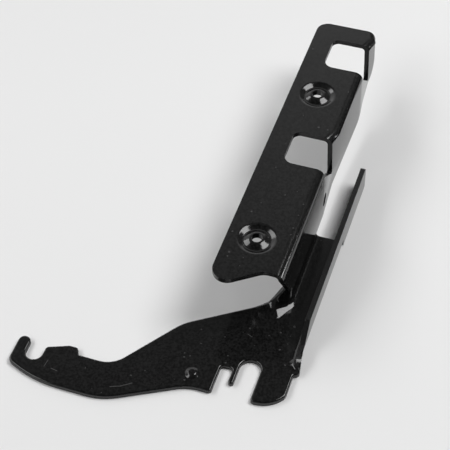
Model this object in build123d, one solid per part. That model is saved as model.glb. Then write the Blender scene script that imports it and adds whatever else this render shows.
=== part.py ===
from build123d import *
from math import atan2, cos, radians, sin, sqrt, tan
import os

# Hinge arm pressed from one sheet. The origin is the centre of the pivot notch on the
# underside of the lever; X runs across the arm, Y along it, Z up from the resting plane.

# Sheet and bends
sheet = 2.0
bend_in = 1.5

# Section across the arm
arm_height = 29.5
flange_width = 26.0
web_right = 5.2
channel_width = 9.2
side_height = 11.0

# Lengths along the arm, from the pivot
flange_near = 24.0
flange_far = 161.7
base_far = 68.3
tongue_far = 101.3
side_near = 21.2

# Flange plan
flange_slant = 35.0
flange_near_r = 5.5
flange_far_r = 5.0
slant_start = 4.0
slant_r = 6.0

# Screw seats: a rolled rim, a ring valley and a drawn collar round the hole
seat_inset = 11.4
seat_first = 38.0
seat_pitch = 80.0
seat_rim_r = 7.2
seat_valley_r = 5.2
seat_depth = 1.2
seat_under = 1.8
seat_roll = 2.0
seat_valley_round = 0.8
collar_rise = 0.3
collar_land = 0.4
screw_r = 2.1
screw_land = 2.6

# Windows cut through flange, bend and web
window_first = 78.0
window_pitch = 57.3
window_length = 17.2
window_inset = 8.7
window_foot = 10.0
window_near_r = 4.0
window_far_r = 3.0
tuck = 1.8
tuck_run = 5.0

# Free lower edge of the web, its far end and the pierced hole
web_free = 3.0
web_step_at = 132.0
web_step_run = 7.0
web_step_foot = 5.0
web_step_top = 9.3
web_step_r = 6.0
web_far_r = 6.5
web_hole_r = 2.75
web_hole_at = (80.4, 10.4)
web_slant = 61.0

# Drawn corner where the web turns into the lever: the bend opens to a facet and lies down along the edge
turn_r = 3.0
turn_top = 13.5
turn_mid_angle = 86.0
turn_mid_bend = 1.6
turn_mid_facet = 0.9
turn_mid_top = 12.2
turn_end_angle = 80.0
turn_end_bend = 1.6
turn_end_facet = 1.45
turn_end_top = 10.3
facet_lean = 20.0
facet_least = 0.1
scoop_run = 3.5
scoop_angle = 50.0
scoop_bend = 2.0
scoop_facet = 2.9
scoop_top = 5.2
fade_run = 5.6
fade_lean = 7.0
fade_angle = 28.0
fade_bend = 4.0
fade_facet = 2.5
fade_top = 2.6
turn_run = 10.5
end_lean = 1.0
end_angle = 2.0
end_bend = 60.0
end_lead = 2.4

# Side flange, its low lip and its tongue
lip_top = 4.2
lip_slant = 14.6
lip_fade = 13.0
lip_mid = 9.0
lip_mid_angle = 84.0
lip_mid_bend = 1.8
lip_mid_top = 4.0
lip_low = 6.3
lip_low_angle = 50.0
lip_low_bend = 1.5
lip_low_top = 2.9
lip_facet = 1.6
lip_end = 4.2
lip_edge = 17.6
lip_reach = 4.0
lip_notch_r = 1.5
side_near_r = 1.0
tongue_r = 1.2

# Foot and pivot notch
pivot_r = 4.0
foot_right = 15.7
foot_near = -12.85
foot_r = 11.5
foot_run = 7.6
foot_rise = 5.85
foot_heel_r = 1.2
foot_toe_r = 3.0
lip_step = 2.6
lip_step_r = 0.8
lip_nose_r = 1.5

# Finger and spring slot beside the pivot
finger_left = -6.0
finger_tip = -8.0
finger_r = 0.9
slot_left = -10.6
slot_top = -1.3
slot_r = 1.5
slot_mouth_r = 1.0

# Lever outline
lever_slant = 33.5
lever_knee = (-30.6, 12.1)
lever_knee_r = 20.0
lever_waist = (-48.8, -13.1)
lever_waist_r = 10.0
lever_inner = -13.4
lever_near = -28.1
lever_near_slope = 27.8
lever_bow_x = -74.0
lever_bow_run = 9.5
lever_turn_x = -47.3
lever_turn_r = 25.0
lever_blend_r = 18.0

# Hook at the lever's end
hook_left = -86.5
hook_width = 4.65
hook_slot = 6.65
hook_floor = -20.1
hook_tip = -11.1
hook_heel = -23.0
hook_heel_r = 3.0
hook_lead = -13.4
hook_lead_r = 1.5
tab_top = -10.2
tab_right = -62.2
tab_rise = 1.6
tab_flat = 3.2
tab_r = 1.1
tab_shoulder_r = 3.0

# Pressed button on the lever and the rolled edge left by the blanking die
button_at = (-19.5, -8.1)
button_r = 2.6
button_rise = 0.9
button_crown_r = 1.4
button_round = 1.0
edge_roll = 0.7

# Sizes that follow
bend_out = bend_in + sheet
web_left = web_right - sheet
flange_left = web_right - flange_width
top_bend_x = web_left - bend_in
top_bend_z = arm_height - bend_out
foot_bend_x = web_right + bend_in
side_in = web_right + channel_width
side_bend_x = side_in - bend_in
window_left = flange_left + window_inset
seat_x = flange_left + seat_inset
lever_rise = tan(radians(lever_slant))
clear = 1.0
round_end = 0.499


def outline(*corners):
    """Face with straight sides; every corner is given as x, y and its radius."""
    edges = []
    ends = []
    for i, (x, y, radius) in enumerate(corners):
        here = Vector(x, y)
        after = corners[(i + 1) % len(corners)]
        back = (Vector(*corners[i - 1][:2]) - here).normalized()
        ahead = (Vector(*after[:2]) - here).normalized()
        if radius == 0:
            ends.append((here, here))
            continue
        half = radians(back.get_angle(ahead)) / 2
        enter = here + back * (radius / tan(half))
        leave = here + ahead * (radius / tan(half))
        middle = here + (back + ahead).normalized() * (radius / sin(half) - radius)
        edges.append(ThreePointArc(enter, middle, leave))
        ends.append((enter, leave))
    for i, (enter, leave) in enumerate(ends):
        start = ends[i - 1][1]
        if (enter - start).length > 0.001:
            edges.append(Line(start, enter))
    return make_face(edges)


def across(face, x, width):
    """Stands a Y-Z outline up at x and gives it a width along X."""
    return extrude(Plane.YZ.offset(x) * face, amount=width, dir=(1, 0, 0))


def along(face, start, end):
    """Stands an X-Z outline up at the start and runs it along Y to the end."""
    return extrude(Plane.XZ.offset(-start) * face, amount=end - start, dir=(0, 1, 0))


def quarter_bend(x, z, right, up):
    """Quarter ring of sheet about a bend axis, towards the given sides."""
    ring = Circle(bend_out) - Circle(bend_in)
    corner = Pos(right * bend_out / 2, up * bend_out / 2) * Rectangle(bend_out, bend_out)
    return Pos(x, z) * (ring & corner)


def strip_points(lean, facet, angle, radius, leg):
    """Lower side of a strip that bends to a lean, runs on as a facet, bends to an angle and ends in a leg."""
    low = radians(lean)
    high = radians(angle)
    outer = radius + sheet
    toe = Vector(outer * sin(low), outer - outer * cos(low))
    knee = toe + Vector(cos(low), sin(low)) * facet
    heel = knee + Vector(outer * (sin(high) - sin(low)), outer * (cos(low) - cos(high)))
    return toe, knee, heel, heel + Vector(cos(high), sin(high)) * leg


def strip_leg(lean, facet, angle, radius, top):
    """Straight leg past the bends that brings the strip's lower edge to a height."""
    return (top - strip_points(lean, facet, angle, radius, 0)[3].Y) / sin(radians(angle))


def strip_run(lean, facet, angle, radius, leg):
    """Level distance from the end of the flat to the strip's lower edge."""
    return strip_points(lean, facet, angle, radius, leg)[3].X


def strip_arc(start, turn, end, radius):
    """Arc between two points of a section, bulging down across the direction half-way through the turn."""
    half = (end - start).length / 2
    sag = radius - sqrt(radius ** 2 - half ** 2)
    return ThreePointArc(start, (start + end) / 2 + Vector(sin(turn), -cos(turn)) * sag, end)


def bent_strip(lean, facet, angle, radius, leg, flat, roll=0):
    """Section of sheet: a flat lead, a bend, a facet, a second bend and a straight leg with a rolled edge."""
    toe, knee, heel, tip = strip_points(lean, facet, angle, radius, leg)
    low = radians(lean)
    high = radians(angle)
    low_up = Vector(-sin(low), cos(low)) * sheet
    high_up = Vector(-sin(high), cos(high)) * sheet
    ahead = Vector(cos(high), sin(high)) * roll
    upward = high_up * (roll / sheet)
    edges = [
        Line((-flat, 0), (0, 0)),
        strip_arc(Vector(0, 0), low / 2, toe, radius + sheet),
        Line(toe, knee),
        strip_arc(knee, (low + high) / 2, heel, radius + sheet),
        Line(heel, tip),
        Line(tip, tip + high_up - upward),
    ]
    if roll > 0:
        crown = tip + high_up - (ahead + upward) * (1 - sqrt(0.5))
        edges.append(ThreePointArc(tip + high_up - upward, crown, tip + high_up - ahead))
    edges += [
        Line(tip + high_up - ahead, heel + high_up),
        strip_arc(heel + high_up, (low + high) / 2, knee + low_up, radius),
        Line(knee + low_up, toe + low_up),
        strip_arc(toe + low_up, low / 2, Vector(0, sheet), radius),
        Line((0, sheet), (-flat, sheet)),
        Line((-flat, sheet), (-flat, 0)),
    ]
    return make_face(edges)


# Drawn corner: sections fan round the corner axis, then open out and lie down along the lever's far edge
turn_x = web_left - turn_r
turn_y = lever_knee[1] + (turn_x - lever_knee[0]) * lever_rise + turn_r / cos(radians(lever_slant))
turn_axis = Vector(turn_x, turn_y)
turn_angle = 90 - lever_slant
turn_out = Vector(sin(radians(lever_slant)), -cos(radians(lever_slant)))
turn_way = Vector(-cos(radians(lever_slant)), -sin(radians(lever_slant)))


def station(swing, way, shape, leg):
    """Section of the drawn corner at a swing from the web and a way along the edge, and its overlap point."""
    out = Vector(cos(radians(swing)), -sin(radians(swing)))
    root = turn_axis + turn_way * way + out * (turn_r + strip_run(*shape, leg))
    plane = Plane(origin=root, x_dir=out * -1, z_dir=(out * -1).cross(Vector(0, 0, 1)))
    return plane * bent_strip(*shape, leg, 2 * clear, edge_roll), root + out * clear


web_shape = (facet_lean, facet_least, 90, bend_in)
mid_shape = (facet_lean, turn_mid_facet, turn_mid_angle, turn_mid_bend)
end_shape = (facet_lean, turn_end_facet, turn_end_angle, turn_end_bend)
scoop_shape = (facet_lean, scoop_facet, scoop_angle, scoop_bend)
fade_shape = (fade_lean, fade_facet, fade_angle, fade_bend)
flat_shape = (end_lean, fade_facet, end_angle, end_bend)
stations = [
    station(0, 0, web_shape, strip_leg(*web_shape, turn_top)),
    station(turn_angle / 2, 0, mid_shape, strip_leg(*mid_shape, turn_mid_top)),
    station(turn_angle, 0, end_shape, strip_leg(*end_shape, turn_end_top)),
    station(turn_angle, scoop_run, scoop_shape, strip_leg(*scoop_shape, scoop_top)),
    station(turn_angle, fade_run, fade_shape, strip_leg(*fade_shape, fade_top)),
    station(turn_angle, turn_run, flat_shape, end_lead),
]
fan = loft([section for section, _ in stations[:3]])
scoop = loft([section for section, _ in stations[2:4]])
fade = loft([section for section, _ in stations[3:]], ruled=True)
corner_edge = [(point.X, point.Y, 0) for _, point in stations]

# Flat of the foot, base and lever
fade_out = turn_axis + turn_way * turn_run + turn_out * turn_r
lip_side = side_in + sheet
lip_root = side_bend_x - lip_reach
near_rise = tan(radians(lever_near_slope))
blend_x = lever_turn_x + (lever_inner - lever_near) / near_rise
hook_in = hook_left + hook_width
slot_in = hook_in + hook_slot
bow_turn = atan2(hook_heel - lever_near, lever_bow_x - hook_left)
plate_face = outline(
    (pivot_r, foot_near, foot_heel_r),
    (pivot_r + foot_run, foot_near, foot_r),
    (foot_right, foot_near + foot_rise, foot_toe_r),
    (foot_right, lip_step, lip_step_r),
    (lip_edge, lip_step, lip_nose_r),
    (lip_edge, lip_end, 0),
    (lip_root, lip_end, 0),
    (lip_root, lip_fade, 0),
    (side_bend_x, lip_fade, 0),
    (side_bend_x, base_far, 0),
    (foot_bend_x, base_far, 0),
    (foot_bend_x, turn_y, 0),
    *corner_edge,
    (fade_out.X, fade_out.Y, 0),
    (*lever_knee, lever_knee_r),
    (*lever_waist, lever_waist_r),
    (tab_right, lever_waist[1], tab_r),
    (tab_right - tab_rise, tab_top, tab_r),
    (tab_right - tab_rise - tab_flat, tab_top, tab_shoulder_r),
    (slot_in, hook_lead, hook_lead_r),
    (slot_in, hook_floor, hook_slot * round_end),
    (hook_in, hook_floor, hook_slot * round_end),
    (hook_in, hook_tip, hook_width * round_end),
    (hook_left, hook_tip, hook_width * round_end),
    (hook_left, hook_heel, hook_heel_r),
    (lever_bow_x, lever_near, lever_bow_run / tan(bow_turn / 2)),
    (lever_turn_x, lever_near, lever_turn_r),
    (blend_x, lever_inner, lever_blend_r),
    (slot_left, lever_inner, slot_mouth_r),
    (slot_left, slot_top, slot_r),
    (finger_left, slot_top, slot_r),
    (finger_left, finger_tip, finger_r),
    (-pivot_r, finger_tip, finger_r),
    (-pivot_r, pivot_r, 2 * pivot_r * round_end),
    (pivot_r, pivot_r, 2 * pivot_r * round_end),
)
plate = extrude(plate_face, amount=sheet)
top_edges = plate.edges().group_by(Axis.Z)[-1]
rolled = top_edges.filter_by(lambda edge: edge.center().X < fade_out.X - clear)
plate = fillet(rolled, edge_roll)

# Web with its slanted near end and its free lower edge
slant_foot = turn_top - bend_out
slant_reach = flange_near + (top_bend_z - slant_foot) / tan(radians(web_slant))
web = across(outline(
    (flange_near, top_bend_z, 0),
    (slant_reach, slant_foot, 0),
    (turn_y, slant_foot, 0),
    (turn_y, bend_out, 0),
    (base_far, bend_out, 0),
    (base_far, web_free, 0),
    (web_step_at, web_step_foot, web_step_r),
    (web_step_at + web_step_run, web_step_top, web_step_r),
    (flange_far, web_step_top, web_far_r),
    (flange_far, top_bend_z, 0),
), web_left, sheet)
foot_bend = along(quarter_bend(foot_bend_x, bend_out, -1, -1), turn_y, base_far)

# Top flange with its bend
slant_x = top_bend_x - slant_start
slant_fall = (slant_x - flange_left) * tan(radians(flange_slant))
flange_face = outline(
    (top_bend_x, flange_near, 0),
    (slant_x, flange_near, slant_r),
    (flange_left, flange_near - slant_fall, flange_near_r),
    (flange_left, flange_far, flange_far_r),
    (top_bend_x, flange_far, 0),
)
flange = Pos(0, 0, arm_height - sheet) * extrude(flange_face, amount=sheet)
top_bend = along(quarter_bend(top_bend_x, top_bend_z, 1, 1), flange_near, flange_far)

# Side flange, its lip that fades into the foot, and its tongue
side = across(outline(
    (lip_fade, bend_out, 0),
    (lip_fade, lip_top, 0),
    (lip_slant, lip_top, lip_notch_r),
    (side_near, side_height, side_near_r),
    (tongue_far, side_height, tongue_r),
    (tongue_far, 0, tongue_r),
    (base_far, 0, 0),
    (base_far, bend_out, 0),
), side_in, sheet)
side_bend = along(quarter_bend(side_bend_x, bend_out, 1, -1), lip_fade, base_far)


def lip_section(at, shape, leg):
    """Section of the side lip at a place along the foot; its edge leans out as the lip fades."""
    edge = lip_edge + (lip_side - lip_edge) * (at - lip_end) / (lip_fade - lip_end)
    root = edge - strip_run(*shape, leg)
    plane = Plane(origin=(root, at, 0), x_dir=(1, 0, 0), z_dir=(0, -1, 0))
    return plane * bent_strip(*shape, leg, root - lip_root + clear)


lip_mid_shape = (facet_lean, facet_least, lip_mid_angle, lip_mid_bend)
lip_low_shape = (facet_lean, lip_facet, lip_low_angle, lip_low_bend)
lip_flat_shape = (end_lean, lip_facet, end_angle, end_bend)
lip_sections = [
    lip_section(lip_fade, web_shape, strip_leg(*web_shape, lip_top)),
    lip_section(lip_mid, lip_mid_shape, strip_leg(*lip_mid_shape, lip_mid_top)),
    lip_section(lip_low, lip_low_shape, strip_leg(*lip_low_shape, lip_low_top)),
    lip_section(lip_end, lip_flat_shape, clear),
]
lip = loft(lip_sections[:2]) + loft(lip_sections[1:])

arm = plate + fan + scoop + fade + web + foot_bend + flange + top_bend + side + side_bend + lip

# Windows, each with the far cut edge of the web tucked inwards
for i in range(2):
    near = window_first + i * window_pitch
    far = near + window_length
    opening = outline(
        (window_left, near, window_near_r),
        (web_right + clear, near, 0),
        (web_right + clear, far, 0),
        (window_left, far, window_far_r),
    )
    arm -= Pos(0, 0, top_bend_z) * extrude(opening, amount=bend_out + clear)
    flank = outline((near, top_bend_z, 0), (far, window_foot, clear), (far, top_bend_z, 0))
    arm -= across(flank, web_left - 2 * tuck, sheet + 2 * tuck + clear)
    tuck_dir = (-tuck, -tuck_run, 0)
    tuck_length = Vector(*tuck_dir).length
    tuck_plane = Plane.XZ.offset(-far - tuck_run)
    hollow = outline(
        (top_bend_x, window_foot, 0),
        (web_right + tuck + clear, window_foot, 0),
        (web_right + tuck + clear, arm_height + clear, 0),
        (top_bend_x, arm_height + clear, 0),
    )
    lead = Pos(top_bend_x - bend_in, arm_height - sheet / 2) * Rectangle(2 * bend_in, sheet)
    leg_height = top_bend_z - window_foot
    leg = Pos(web_right - sheet / 2, window_foot + leg_height / 2) * Rectangle(sheet, leg_height)
    ell = lead + quarter_bend(top_bend_x, top_bend_z, 1, 1) + leg
    arm -= extrude(tuck_plane * hollow, amount=tuck_length, dir=tuck_dir)
    arm += extrude(tuck_plane * ell, amount=tuck_length, dir=tuck_dir)

# Screw seats
seat_out = seat_rim_r + bend_in
seat_face = outline(
    (seat_out, 0, 0),
    (seat_rim_r, 0, seat_roll),
    (seat_valley_r, -seat_depth, seat_valley_round),
    (screw_r + collar_land, collar_rise, 0),
    (screw_r, collar_rise, 0),
    (screw_r, collar_rise - screw_land, 0),
    (seat_valley_r - collar_land, -seat_depth - seat_under, 0),
    (seat_valley_r + collar_land, -seat_depth - seat_under, 0),
    (seat_rim_r, -sheet, 0),
    (seat_out, -sheet, 0),
)
seat = revolve(Plane.XZ * seat_face, axis=Axis.Z)
for i in range(2):
    place = Pos(seat_x, seat_first + i * seat_pitch, arm_height)
    arm -= place * Cylinder(seat_out, 2 * bend_out)
    arm += place * seat

# Hole through the web and the pressed button on the lever
arm -= across(Pos(*web_hole_at) * Circle(web_hole_r), web_left - clear, sheet + 2 * clear)
crown_face = outline(
    (0, button_rise, 0),
    (button_crown_r, button_rise, button_round),
    (button_r, 0, 0),
    (button_r, -clear / 2, 0),
    (0, -clear / 2, 0),
)
crown = revolve(Plane.XZ * crown_face, axis=Axis.Z)
arm += Pos(*button_at, sheet) * crown
arm -= Pos(*button_at, 0) * crown

os.makedirs("parts", exist_ok=True)
export_step(arm, "parts/hinge_arm.step")
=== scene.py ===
"""A black coated hinge arm, pressed from one steel sheet, on a pale studio floor."""
import logging
import math
from dataclasses import dataclass, field
from enum import Enum
from typing import Any

import bpy
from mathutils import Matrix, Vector
from mathutils.bvhtree import BVHTree


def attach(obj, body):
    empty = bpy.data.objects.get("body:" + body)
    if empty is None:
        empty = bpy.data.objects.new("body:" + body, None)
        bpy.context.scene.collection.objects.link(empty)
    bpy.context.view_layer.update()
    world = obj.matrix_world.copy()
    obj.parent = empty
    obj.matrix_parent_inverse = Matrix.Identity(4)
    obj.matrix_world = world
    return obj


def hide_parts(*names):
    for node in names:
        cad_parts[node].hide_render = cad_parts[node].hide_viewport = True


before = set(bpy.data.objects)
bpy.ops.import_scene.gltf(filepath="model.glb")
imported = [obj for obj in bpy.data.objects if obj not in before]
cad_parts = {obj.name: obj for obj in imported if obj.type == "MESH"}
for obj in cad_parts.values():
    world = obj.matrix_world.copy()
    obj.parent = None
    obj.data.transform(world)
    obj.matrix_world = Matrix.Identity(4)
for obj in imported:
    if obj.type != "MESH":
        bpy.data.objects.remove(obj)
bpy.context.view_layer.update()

MM = 0.001
BODY = "root"

log = logging.getLogger("hinge_arm")

Point = tuple[float, float, float]
Colour = tuple[float, float, float, float]
Steps = tuple[tuple[float, float], ...]


class SheetSide(Enum):
    """The two kinds of surface on a sheared sheet, by material slot."""

    PRESSED_FACE = 0
    CUT_EDGE = 1


def grey(level: float) -> Colour:
    """Return a neutral opaque colour of the given linear level."""
    return (level, level, level, 1.0)


def metres(point: Point) -> Vector:
    """Return a point given in millimetres as a vector in metres."""
    return Vector(point) * MM


@dataclass
class Wiring:
    """A node tree and short ways to add and join its nodes."""

    tree: bpy.types.NodeTree

    def add(self, kind: str, **settings: Any) -> bpy.types.Node:
        """Add a node and set its properties.

        Args:
            kind: the node's type name.
            settings: properties of the node, by name.

        Returns:
            The new node.
        """
        node = self.tree.nodes.new(kind)
        for name, value in settings.items():
            setattr(node, name, value)
        return node

    def join(self, source: bpy.types.NodeSocket, target: bpy.types.NodeSocket) -> None:
        """Link an output socket to an input socket."""
        self.tree.links.new(source, target)

    def feed(self, socket: bpy.types.NodeSocket, operand: Any) -> None:
        """Link a source to an input socket, or set the socket's own value.

        Args:
            socket: the input socket.
            operand: a socket to link, or a number, vector or colour to set.
        """
        if isinstance(operand, bpy.types.NodeSocket):
            self.join(operand, socket)
        else:
            socket.default_value = operand

    def math(self, operation: str, first: Any, second: Any) -> bpy.types.NodeSocket:
        """Add a Math node whose operands are sockets or numbers.

        Args:
            operation: the node's operation.
            first: a socket or a number.
            second: a socket or a number.

        Returns:
            The node's output socket.
        """
        node = self.add("ShaderNodeMath", operation=operation)
        for socket, operand in zip(node.inputs, (first, second)):
            self.feed(socket, operand)
        return node.outputs[0]

    def vector(self, operation: str, first: Any, second: Any) -> bpy.types.Node:
        """Add a Vector Math node that joins two vector sockets.

        Args:
            operation: the node's operation.
            first: a vector socket.
            second: a vector socket.

        Returns:
            The new node.
        """
        node = self.add("ShaderNodeVectorMath", operation=operation)
        self.join(first, node.inputs[0])
        self.join(second, node.inputs[1])
        return node

    def noise(self, place: Any, scale: Any, detail: float) -> bpy.types.NodeSocket:
        """Add a Noise Texture node.

        Args:
            place: the vector socket it reads.
            scale: a socket or a number, in cells per metre.
            detail: how many finer layers it carries.

        Returns:
            The noise value, from 0 to 1.
        """
        node = self.add("ShaderNodeTexNoise")
        node.inputs["Detail"].default_value = detail
        self.join(place, node.inputs["Vector"])
        self.feed(node.inputs["Scale"], scale)
        return node.outputs["Fac"]

    def span(self, value: Any, low: float, high: float, to_low: Any, to_high: Any,
             smooth: bool = False) -> bpy.types.NodeSocket:
        """Add a Map Range node that takes one span to another.

        Args:
            value: the socket to read.
            low: the value that becomes to_low.
            high: the value that becomes to_high.
            to_low: a socket or a number.
            to_high: a socket or a number.
            smooth: whether the step between them is eased.

        Returns:
            The mapped value.
        """
        style = "SMOOTHSTEP" if smooth else "LINEAR"
        node = self.add("ShaderNodeMapRange", interpolation_type=style)
        self.join(value, node.inputs["Value"])
        names = ("From Min", "From Max", "To Min", "To Max")
        for name, operand in zip(names, (low, high, to_low, to_high)):
            self.feed(node.inputs[name], operand)
        return node.outputs["Result"]

    def blend(self, mask: Any, base: Any, top: Any) -> bpy.types.NodeSocket:
        """Add a colour Mix node.

        Args:
            mask: the socket that shows the top colour where it is 1.
            base: a colour socket or a colour.
            top: a colour socket or a colour.

        Returns:
            The mixed colour.
        """
        node = self.add("ShaderNodeMix", data_type="RGBA")
        self.join(mask, node.inputs["Factor"])
        colours = [socket for socket in node.inputs if socket.type == "RGBA"]
        for socket, operand in zip(colours, (base, top)):
            self.feed(socket, operand)
        return next(socket for socket in node.outputs if socket.type == "RGBA")


class CoatEffect:
    """A shader node group that the coat's materials share."""

    title: str = "coat effect"
    inputs: dict[str, str] = {}
    outputs: dict[str, str] = {}

    def __init__(self) -> None:
        """Make the group with its named sockets and wire it."""
        self.group = bpy.data.node_groups.new(self.title, "ShaderNodeTree")
        for way, sockets in (("INPUT", self.inputs), ("OUTPUT", self.outputs)):
            for name, kind in sockets.items():
                self.group.interface.new_socket(name=name, in_out=way, socket_type=kind)
        wiring = Wiring(self.group)
        given = wiring.add("NodeGroupInput").outputs
        wanted = wiring.add("NodeGroupOutput").inputs
        self.wire(wiring, given, wanted)

    def wire(self, wiring: Wiring, given: Any, wanted: Any) -> None:
        """Fill the group with nodes.

        Args:
            wiring: the group's tree.
            given: the group's input values.
            wanted: the group's output sockets.
        """
        raise NotImplementedError

    def place(self, wiring: Wiring, **values: Any) -> bpy.types.Node:
        """Place the group in a material.

        Args:
            wiring: the material's tree.
            values: the group's inputs by name, with _ for a space: sockets, vectors or numbers.

        Returns:
            The group's node.
        """
        node = wiring.add("ShaderNodeGroup", node_tree=self.group)
        for name, value in values.items():
            wiring.feed(node.inputs[name.replace("_", " ")], value)
        return node


class CoatPeel(CoatEffect):
    """The slight waviness and grain of a dipped and baked coat."""

    title = "coat peel"
    inputs = {"Vector": "NodeSocketVector", "Wave Scale": "NodeSocketFloat",
              "Grain Scale": "NodeSocketFloat"}
    outputs = {"Height": "NodeSocketFloat", "Tone": "NodeSocketFloat", "Mottle": "NodeSocketFloat"}

    wave_share: float = 0.7
    wave_layers: float = 1.0
    grain_layers: float = 2.0
    patch_scale: float = 55.0
    patch_layers: float = 3.0
    mottle_span: tuple[float, float] = (0.38, 0.62)

    def wire(self, wiring: Wiring, given: Any, wanted: Any) -> None:
        """Wire the wave and grain heights, the slow drift of tone and its fine mottle.

        Args:
            wiring: the group's tree.
            given: the group's input values.
            wanted: the group's output sockets.
        """
        wave = wiring.noise(given["Vector"], given["Wave Scale"], self.wave_layers)
        grain = wiring.noise(given["Vector"], given["Grain Scale"], self.grain_layers)
        patches = wiring.noise(given["Vector"], self.patch_scale, self.patch_layers)
        height = wiring.math("ADD", wiring.math("MULTIPLY", wave, self.wave_share),
                             wiring.math("MULTIPLY", grain, 1.0 - self.wave_share))
        wiring.join(height, wanted["Height"])
        wiring.join(patches, wanted["Tone"])
        wiring.join(wiring.span(grain, *self.mottle_span, 0.0, 1.0), wanted["Mottle"])


class DustSpecks(CoatEffect):
    """Sparse pale specks of dust and pinholes in the coat."""

    title = "dust specks"
    inputs = {"Vector": "NodeSocketVector", "Scale": "NodeSocketFloat", "Share": "NodeSocketFloat",
              "Radius": "NodeSocketFloat"}
    outputs = {"Mask": "NodeSocketFloat"}

    def wire(self, wiring: Wiring, given: Any, wanted: Any) -> None:
        """Wire round specks, kept in a small share of the cells.

        Args:
            wiring: the group's tree.
            given: the group's input values.
            wanted: the group's output sockets.
        """
        cells = wiring.add("ShaderNodeTexVoronoi")
        wiring.join(given["Vector"], cells.inputs["Vector"])
        wiring.join(given["Scale"], cells.inputs["Scale"])
        chance = wiring.add("ShaderNodeSeparateColor")
        wiring.join(cells.outputs["Color"], chance.inputs[0])
        kept = wiring.math("LESS_THAN", chance.outputs[0], given["Share"])
        size = wiring.math("MULTIPLY", given["Radius"], chance.outputs[1])
        inside = wiring.math("LESS_THAN", cells.outputs["Distance"], size)
        wiring.join(wiring.math("MULTIPLY", kept, inside), wanted["Mask"])


class RubLine(CoatEffect):
    """One straight scuff in the coat, between two points."""

    title = "rub line"
    inputs = {"Vector": "NodeSocketVector", "Start": "NodeSocketVector", "End": "NodeSocketVector",
              "Width": "NodeSocketFloat"}
    outputs = {"Mask": "NodeSocketFloat"}

    core_share: float = 0.3

    def wire(self, wiring: Wiring, given: Any, wanted: Any) -> None:
        """Wire the distance from the line, as a mask that fades out at its width.

        Args:
            wiring: the group's tree.
            given: the group's input values.
            wanted: the group's output sockets.
        """
        away = wiring.vector("SUBTRACT", given["Vector"], given["Start"]).outputs["Vector"]
        run = wiring.vector("SUBTRACT", given["End"], given["Start"]).outputs["Vector"]
        along = wiring.math("DIVIDE", wiring.vector("DOT_PRODUCT", away, run).outputs["Value"],
                            wiring.vector("DOT_PRODUCT", run, run).outputs["Value"])
        held = wiring.add("ShaderNodeClamp")
        wiring.join(along, held.inputs["Value"])
        nearest = wiring.add("ShaderNodeVectorMath", operation="SCALE")
        wiring.join(run, nearest.inputs["Vector"])
        wiring.join(held.outputs["Result"], nearest.inputs["Scale"])
        gap = wiring.vector("DISTANCE", away, nearest.outputs["Vector"]).outputs["Value"]
        share = wiring.math("DIVIDE", gap, given["Width"])
        mask = wiring.span(share, self.core_share, 1.0, 1.0, 0.0, smooth=True)
        wiring.join(mask, wanted["Mask"])


@dataclass(frozen=True)
class Scuff:
    """A scuff or speck that shows on the arm, in millimetres."""

    start: Point
    end: Point
    width: float


@dataclass(frozen=True)
class CoatFinish:
    """The black coat on one kind of surface of the sheet."""

    name: str
    dark: float
    pale: float
    gloss_rough: float
    dull_rough: float
    peel_depth: float
    wave_scale: float = 420.0
    grain_scale: float = 1270.0
    speck_scale: float = 520.0
    speck_share: float = 0.16
    speck_radius: float = 0.22
    speck_grey: float = 0.045
    scuff_grey: float = 0.034
    scuff_rough: float = 0.4
    tone_span: tuple[float, float] = (0.3, 0.7)
    bump_strength: float = 1.0
    refraction: float = 1.5
    scuffs: tuple[Scuff, ...] = ()

    def build(self, peel: CoatPeel, specks: DustSpecks, rub: RubLine) -> bpy.types.Material:
        """Build the material.

        Args:
            peel: the shared waviness of the coat.
            specks: the shared dust.
            rub: the shared scuff.

        Returns:
            The finished material.
        """
        material = bpy.data.materials.new(self.name)
        material.use_nodes = True
        material.node_tree.nodes.clear()
        wiring = Wiring(material.node_tree)
        place = wiring.add("ShaderNodeTexCoord").outputs["Object"]
        skin = peel.place(wiring, Vector=place, Wave_Scale=self.wave_scale,
                          Grain_Scale=self.grain_scale)
        dust = specks.place(wiring, Vector=place, Scale=self.speck_scale, Share=self.speck_share,
                            Radius=self.speck_radius)
        worn = self.worn_places(wiring, rub, place)
        tone = wiring.blend(skin.outputs["Mottle"], grey(self.dark), grey(self.pale))
        tone = wiring.blend(dust.outputs["Mask"], tone, grey(self.speck_grey))
        rough = wiring.span(skin.outputs["Tone"], *self.tone_span,
                            self.gloss_rough, self.dull_rough)
        if worn is not None:
            tone = wiring.blend(worn, tone, grey(self.scuff_grey))
            rough = wiring.span(worn, 0.0, 1.0, rough, self.scuff_rough)
        bump = wiring.add("ShaderNodeBump")
        bump.inputs["Strength"].default_value = self.bump_strength
        bump.inputs["Distance"].default_value = self.peel_depth * MM
        wiring.join(skin.outputs["Height"], bump.inputs["Height"])
        surface = wiring.add("ShaderNodeBsdfPrincipled")
        surface.inputs["IOR"].default_value = self.refraction
        wiring.join(tone, surface.inputs["Base Color"])
        wiring.join(rough, surface.inputs["Roughness"])
        wiring.join(bump.outputs["Normal"], surface.inputs["Normal"])
        output = wiring.add("ShaderNodeOutputMaterial")
        wiring.join(surface.outputs["BSDF"], output.inputs["Surface"])
        return material

    def worn_places(self, wiring: Wiring, rub: RubLine, place: Any) -> Any:
        """Join the masks of all scuffs.

        Args:
            wiring: the material's tree.
            rub: the shared scuff.
            place: the coordinates the masks read.

        Returns:
            The joint mask, or None where the finish has no scuffs.
        """
        worn = None
        for scuff in self.scuffs:
            line = rub.place(wiring, Vector=place, Start=metres(scuff.start), End=metres(scuff.end),
                             Width=scuff.width * MM)
            mask = line.outputs["Mask"]
            worn = mask if worn is None else wiring.math("MAXIMUM", worn, mask)
        return worn


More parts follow.
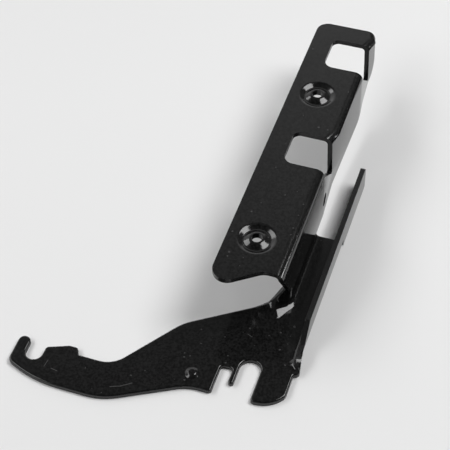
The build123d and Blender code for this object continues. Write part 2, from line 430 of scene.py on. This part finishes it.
@dataclass(frozen=True)
class WebTuck:
    """The inward tuck of the web at one window, in millimetres along the arm."""

    near: float
    far: float
    straight: float
    depth: float = 1.8
    crease: float = 5.0
    touch: float = 0.02

    def crease_depth(self, along: float) -> float:
        """Return how far the solid's short crease stands in at a place."""
        share = (self.far + self.crease - along) / self.crease
        if along <= self.far - self.touch or share <= 0.0:
            return 0.0
        return self.depth * min(share, 1.0)

    def eased_depth(self, along: float) -> float:
        """Return how far the long tuck of the real arm stands in at a place."""
        if along <= self.far:
            share = (along - self.near) / (self.far - self.near)
        else:
            share = (self.straight - along) / (self.straight - self.far)
        return self.depth * max(share, 0.0)


@dataclass
class PressedArm:
    """The arm: one folded sheet with broken edges and a baked coat, in millimetres and degrees."""

    node: str = "hinge_arm"
    name: str = "pressed_arm"
    coat_slot: str = "black_coat"
    sheet: float = 2.0
    weld_gap: float = 0.001
    flat_angle: float = 0.05
    edge_break: float = 0.14
    edge_steps: int = 2
    crease_angle: float = 32.0
    through_share: float = 1.3
    web_right: float = 5.2
    bend_start: float = 1.7
    flange_under: float = 27.45
    window_foot: float = 10.0
    foot_round: float = 2.5
    touch: float = 0.02
    lean_share: float = 0.55
    tucks: tuple[WebTuck, ...] = (WebTuck(78.0, 95.2, 133.0), WebTuck(135.3, 152.5, 200.0))
    face_coat: CoatFinish = CoatFinish(
        name="black_coat_face", dark=0.004, pale=0.0115, gloss_rough=0.09, dull_rough=0.15,
        peel_depth=0.006,
        scuffs=(
            Scuff((-45.8, -22.6, 2.0), (-42.4, -21.3, 2.0), 0.28),
            Scuff((-42.4, -21.3, 2.0), (-38.8, -18.8, 2.0), 0.28),
            Scuff((-72.3, -21.8, 2.0), (-72.0, -18.9, 2.0), 0.22),
            Scuff((-69.5, -21.8, 2.0), (-66.8, -22.3, 2.0), 0.22),
            Scuff((-5.6, 14.6, 2.0), (-3.7, 13.8, 2.0), 0.22),
            Scuff((-25.2, -0.6, 2.0), (-25.0, -0.5, 2.0), 0.3),
            Scuff((-22.9, -1.3, 2.0), (-22.7, -1.2, 2.0), 0.3),
            Scuff((-5.8, 61.5, 29.5), (-5.7, 61.6, 29.5), 0.4),
            Scuff((1.8, 46.7, 29.5), (1.9, 46.8, 29.5), 0.35),
        ))
    # The cut edges' coat is rougher than the faces' coat. Its darker base colour is painted shade,
    # standing in for the dark that the cut edges show.
    edge_coat_painted_shade: CoatFinish = CoatFinish(
        name="black_coat_cut_edge_painted_shade", dark=0.003, pale=0.009, gloss_rough=0.20, dull_rough=0.32,
        peel_depth=0.008)
    piece: bpy.types.Object | None = field(default=None, init=False)

    def build(self) -> bpy.types.Object:
        """Build and dress the arm.

        Returns:
            The finished piece.
        """
        self.copy_sheet()
        self.weld()
        self.ease_tucks()
        self.break_edges()
        self.dress()
        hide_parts(self.node)
        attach(self.piece, BODY)
        return self.piece

    def copy_sheet(self) -> None:
        """Copy the sheet's solid into a mesh of its own, and select only that."""
        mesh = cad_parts[self.node].data.copy()
        mesh.name = self.name
        mesh.materials.clear()
        self.piece = bpy.data.objects.new(self.name, mesh)
        bpy.context.scene.collection.objects.link(self.piece)
        bpy.ops.object.select_all(action="DESELECT")
        self.piece.select_set(True)
        bpy.context.view_layer.objects.active = self.piece

    def weld(self) -> None:
        """Merge the loose triangles and cut them where the tucks begin and end."""
        bpy.ops.mesh.customdata_custom_splitnormals_clear()
        bpy.ops.object.mode_set(mode="EDIT")
        bpy.ops.mesh.select_all(action="SELECT")
        bpy.ops.mesh.remove_doubles(threshold=self.weld_gap * MM)
        for tuck in self.tucks:
            for along in (tuck.near, tuck.far, tuck.straight):
                bpy.ops.mesh.select_all(action="SELECT")
                bpy.ops.mesh.bisect(plane_co=metres((0.0, along, 0.0)), plane_no=(0.0, 1.0, 0.0))
        bpy.ops.object.mode_set(mode="OBJECT")

    def ease_tucks(self) -> None:
        """Draw the short tucks beside the windows out along the web."""
        for vertex in self.piece.data.vertices:
            across, along, up = vertex.co / MM
            for tuck in self.tucks:
                across = self.eased_place(tuck, across, along, up)
            vertex.co.x = across * MM
        bpy.ops.object.mode_set(mode="EDIT")
        bpy.ops.mesh.select_all(action="SELECT")
        bpy.ops.mesh.remove_doubles(threshold=self.weld_gap * MM)
        bpy.ops.mesh.dissolve_degenerate(threshold=self.weld_gap * MM)
        bpy.ops.mesh.dissolve_limited(angle_limit=math.radians(self.flat_angle))
        bpy.ops.object.mode_set(mode="OBJECT")

    def eased_place(self, tuck: WebTuck, across: float, along: float, up: float) -> float:
        """Find where a point of the web or its bend lies with the tuck drawn out.

        Args:
            tuck: the tuck beside one window.
            across: the point's place across the arm.
            along: the point's place along the arm.
            up: the point's height.

        Returns:
            The new place across the arm.
        """
        crease = tuck.crease_depth(along)
        off_faces = min(abs(across - self.web_right), abs(across - self.web_right + self.sheet))
        in_foot_round = up < self.window_foot + self.foot_round and off_faces < self.touch
        if up < self.window_foot - self.touch or in_foot_round:
            crease = 0.0
        start = across + crease
        if start < self.bend_start - self.touch or start > self.web_right + self.touch:
            return across
        if up > self.flange_under and crease > 0.0 and along > tuck.far + self.touch:
            return across
        lean = self.lean_share + (1.0 - self.lean_share) * up / self.flange_under
        return start - tuck.eased_depth(along) * lean

    def break_edges(self) -> None:
        """Break the sharp edges as the coat does, and smooth the rest."""
        bevel = self.piece.modifiers.new("edge_break", "BEVEL")
        bevel.width = self.edge_break * MM
        bevel.segments = self.edge_steps
        bevel.limit_method = "ANGLE"
        bevel.angle_limit = math.radians(self.crease_angle)
        bpy.ops.object.modifier_apply(modifier=bevel.name)
        bpy.ops.object.shade_smooth_by_angle(angle=math.radians(self.crease_angle))
        even = self.piece.modifiers.new("even_flats", "WEIGHTED_NORMAL")
        even.keep_sharp = True
        bpy.ops.object.modifier_apply(modifier=even.name)

    def dress(self) -> None:
        """Give the faces and the cut edges of the sheet their coats; the cut edges' coat is
        rougher, and darker as painted shade.
        """
        peel, specks, rub = CoatPeel(), DustSpecks(), RubLine()
        mesh = self.piece.data
        for coat in (self.face_coat, self.edge_coat_painted_shade):
            mesh.materials.append(coat.build(peel, specks, rub))
        sides = self.sheet_sides()
        for polygon in mesh.polygons:
            polygon.material_index = sides[polygon.index].value

    def sheet_sides(self) -> list[SheetSide]:
        """Tell the sheet's faces from its cut edges by how far it is through to the other side.

        Returns:
            The side of each polygon, in order.
        """
        mesh = self.piece.data
        mesh.calc_loop_triangles()
        points = [vertex.co.copy() for vertex in mesh.vertices]
        triangles = [tuple(triangle.vertices) for triangle in mesh.loop_triangles]
        tree = BVHTree.FromPolygons(points, triangles)
        widest: dict[int, bpy.types.MeshLoopTriangle] = {}
        for triangle in mesh.loop_triangles:
            known = widest.get(triangle.polygon_index)
            if known is None or triangle.area > known.area:
                widest[triangle.polygon_index] = triangle
        limit = self.through_share * self.sheet * MM
        sides = [SheetSide.PRESSED_FACE] * len(mesh.polygons)
        for index, triangle in widest.items():
            inward = -triangle.normal
            start = triangle.center + inward * self.weld_gap * MM
            distance = tree.ray_cast(start, inward)[3]
            if distance is not None and distance > limit:
                sides[index] = SheetSide.CUT_EDGE
        return sides


@dataclass(frozen=True)
class SoftBox:
    """A softbox that faces the arm, in metres and watts."""

    name: str
    bearing: Point
    distance: float
    width: float
    height: float
    power: float

    def hang(self, target: Vector) -> None:
        """Hang the softbox and turn it to the arm.

        Args:
            target: the point it faces.
        """
        lamp = bpy.data.lights.new(self.name, "AREA")
        lamp.shape = "RECTANGLE"
        lamp.size = self.width
        lamp.size_y = self.height
        lamp.energy = self.power
        bearing = Vector(self.bearing).normalized()
        holder = bpy.data.objects.new(self.name, lamp)
        holder.location = target + bearing * self.distance
        holder.rotation_euler = bearing.to_track_quat("Z", "Y").to_euler()
        bpy.context.scene.collection.objects.link(holder)


@dataclass
class Studio:
    """The pale floor, the soft light and the camera, in millimetres and degrees."""

    paper_size: tuple[float, float] = (1000.0, 1200.0)
    paper_centre: Point = (-400.0, 50.0, 0.0)
    floor_grey: float = 0.80
    floor_rough: float = 0.9
    floor_shine: float = 0.2
    backdrop_grey: float = 0.86
    target: Point = (-10.0, 50.0, 10.0)
    camera_place: Point = (84.264, -242.032, 381.359)
    camera_turn: Point = (40.6227, 1.5996, 18.8613)
    camera_lens: float = 100.0
    camera_sensor: float = 36.0
    camera_nearest: float = 10.0
    left_sky: Steps = (
        (0.0, 0.92), (0.60, 0.74), (0.656, 0.52), (0.713, 0.38), (0.754, 0.30), (0.779, 0.20),
        (0.82, 0.09), (1.0, 0.06))
    right_sky: Steps = ((0.0, 0.0), (0.10, 0.03), (0.30, 0.12), (0.77, 0.14), (1.0, 0.06))
    right_from: tuple[float, float] = (0.0, 0.25)
    front_from: tuple[float, float] = (0.25, -0.35)
    front_level: float = 0.20
    boxes: tuple[SoftBox, ...] = (
        SoftBox("left_bank", (-0.74, -0.17, 0.645), 0.9, 1.15, 0.28, 4.4),
        SoftBox("right_softbox", (0.46, 0.26, 0.85), 0.9, 0.50, 0.46, 6.0),
        SoftBox("far_lamp", (0.82, 0.555, 0.08), 0.9, 0.04, 0.20, 0.26),
    )

    def build(self) -> None:
        """Build the floor, the light and the camera."""
        bpy.context.scene.view_settings.view_transform = "Standard"
        self.lay_floor()
        self.light_sky()
        for box in self.boxes:
            box.hang(metres(self.target))
        self.set_camera()

    def lay_floor(self) -> None:
        """Lay the pale floor under the arm."""
        bpy.ops.object.select_all(action="DESELECT")
        bpy.ops.mesh.primitive_plane_add(size=1.0, location=metres(self.paper_centre))
        bpy.ops.transform.resize(value=(self.paper_size[0] * MM, self.paper_size[1] * MM, 1.0))
        bpy.ops.object.transform_apply(location=True, rotation=False, scale=True)
        floor = bpy.context.object
        floor.name = "floor"
        paper = bpy.data.materials.new("floor_paper")
        paper.use_nodes = True
        surface = paper.node_tree.nodes["Principled BSDF"]
        surface.inputs["Base Color"].default_value = grey(self.floor_grey)
        surface.inputs["Roughness"].default_value = self.floor_rough
        surface.inputs["Specular IOR Level"].default_value = self.floor_shine
        floor.data.materials.append(paper)

    def light_sky(self) -> None:
        """Light the room: pale far off and to the left, dim overhead, to the right and in front."""
        world = bpy.data.worlds.new("studio_room")
        world.use_nodes = True
        world.node_tree.nodes.clear()
        bpy.context.scene.world = world
        wiring = Wiring(world.node_tree)
        split = wiring.add("ShaderNodeSeparateXYZ")
        wiring.join(wiring.add("ShaderNodeTexCoord").outputs["Generated"], split.inputs[0])
        left = self.sky_ramp(wiring, split.outputs["Z"], self.left_sky)
        right = self.sky_ramp(wiring, split.outputs["Z"], self.right_sky)
        side = wiring.span(split.outputs["X"], *self.right_from, 0.0, 1.0, smooth=True)
        front = wiring.span(split.outputs["Y"], *self.front_from,
                            1.0, self.front_level, smooth=True)
        room = wiring.add("ShaderNodeBackground")
        wiring.join(wiring.blend(side, left, right), room.inputs["Color"])
        wiring.join(front, room.inputs["Strength"])
        backdrop = wiring.add("ShaderNodeBackground")
        backdrop.inputs["Color"].default_value = grey(self.backdrop_grey)
        seen = wiring.add("ShaderNodeMixShader")
        path = wiring.add("ShaderNodeLightPath")
        wiring.join(path.outputs["Is Camera Ray"], seen.inputs["Fac"])
        wiring.join(room.outputs["Background"], seen.inputs[1])
        wiring.join(backdrop.outputs["Background"], seen.inputs[2])
        output = wiring.add("ShaderNodeOutputWorld")
        wiring.join(seen.outputs["Shader"], output.inputs["Surface"])

    def sky_ramp(self, wiring: Wiring, height: Any, steps: Steps) -> bpy.types.NodeSocket:
        """Add a ramp of light by the height of the direction.

        Args:
            wiring: the world's tree.
            height: the socket with the direction's height, from 0 at the horizon to 1 overhead.
            steps: heights and levels, from the horizon up.

        Returns:
            The ramp's colour.
        """
        ramp = wiring.add("ShaderNodeValToRGB")
        stops = ramp.color_ramp.elements
        while len(stops) < len(steps):
            stops.new(1.0)
        for stop, (place, level) in zip(stops, steps):
            stop.position = place
            stop.color = grey(level)
        wiring.join(height, ramp.inputs["Fac"])
        return ramp.outputs["Color"]

    def set_camera(self) -> None:
        """Set the camera where the photograph was taken from."""
        lens = bpy.data.cameras.new("photo_camera")
        lens.lens = self.camera_lens
        lens.sensor_width = self.camera_sensor
        lens.clip_start = self.camera_nearest * MM
        camera = bpy.data.objects.new("photo_camera", lens)
        camera.location = metres(self.camera_place)
        camera.rotation_euler = [math.radians(angle) for angle in self.camera_turn]
        bpy.context.scene.collection.objects.link(camera)
        bpy.context.scene.camera = camera


def main() -> None:
    """Build the arm and the studio around it."""
    logging.basicConfig(level=logging.INFO)
    arm = PressedArm().build()
    log.info("%s: %d faces", arm.name, len(arm.data.polygons))
    Studio().build()
    log.info("studio: floor, light and camera")


if __name__ == "__main__":
    main()
